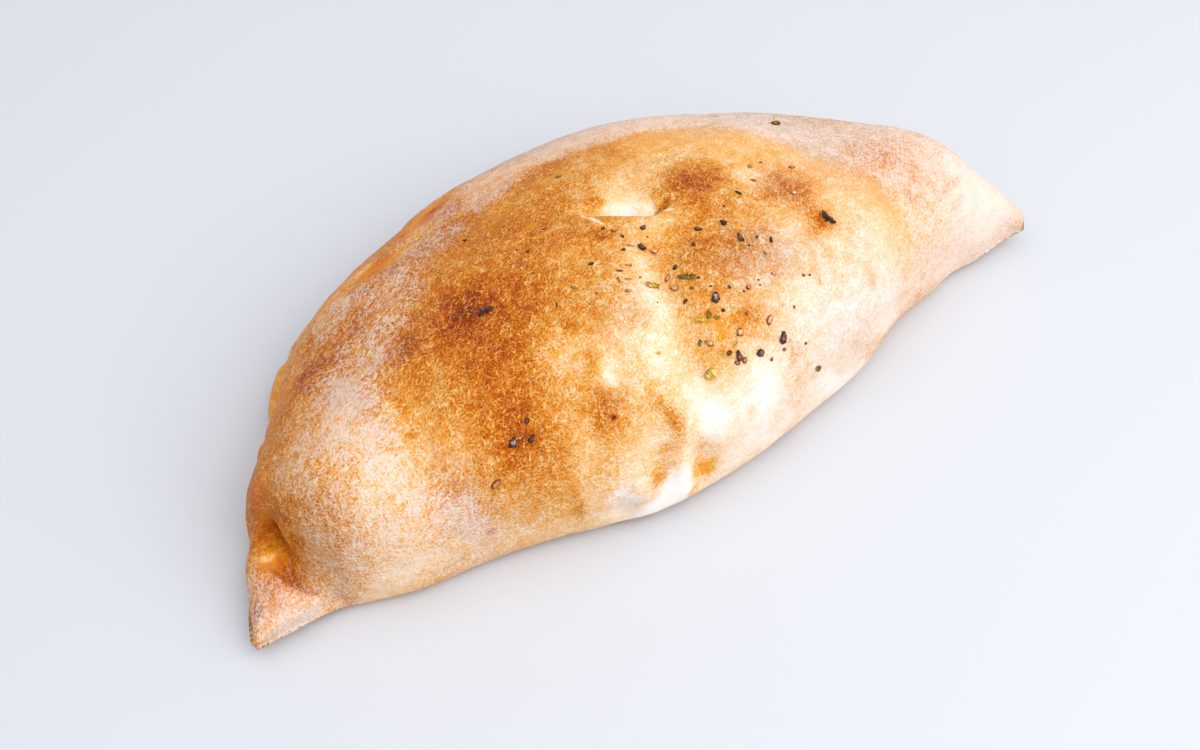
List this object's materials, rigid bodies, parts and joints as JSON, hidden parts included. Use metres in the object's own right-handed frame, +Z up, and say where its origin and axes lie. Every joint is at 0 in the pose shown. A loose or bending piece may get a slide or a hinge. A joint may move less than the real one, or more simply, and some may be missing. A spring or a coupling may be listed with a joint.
{
  "type": "calzone",
  "caption": "Baked half-moon of folded pizza dough with a rolled seam along its arc, pinched pointed tails, browned patches, flour dust and scattered seeds and herbs.",
  "frame": {"origin": "middle of the footprint's box, on the flat base that the calzone rests on", "axes": "+X from the left tail to the right tail along the fold, +Y from the fold to the rolled seam, +Z up"},
  "size_m": [0.3328, 0.1633, 0.0675],
  "materials": {
    "baked_crust": "satin, golden to brown baked dough with flour dust"
  },
  "bodies": {
    "root": {"calzone": "baked_crust"}
  },
  "joints": []
}
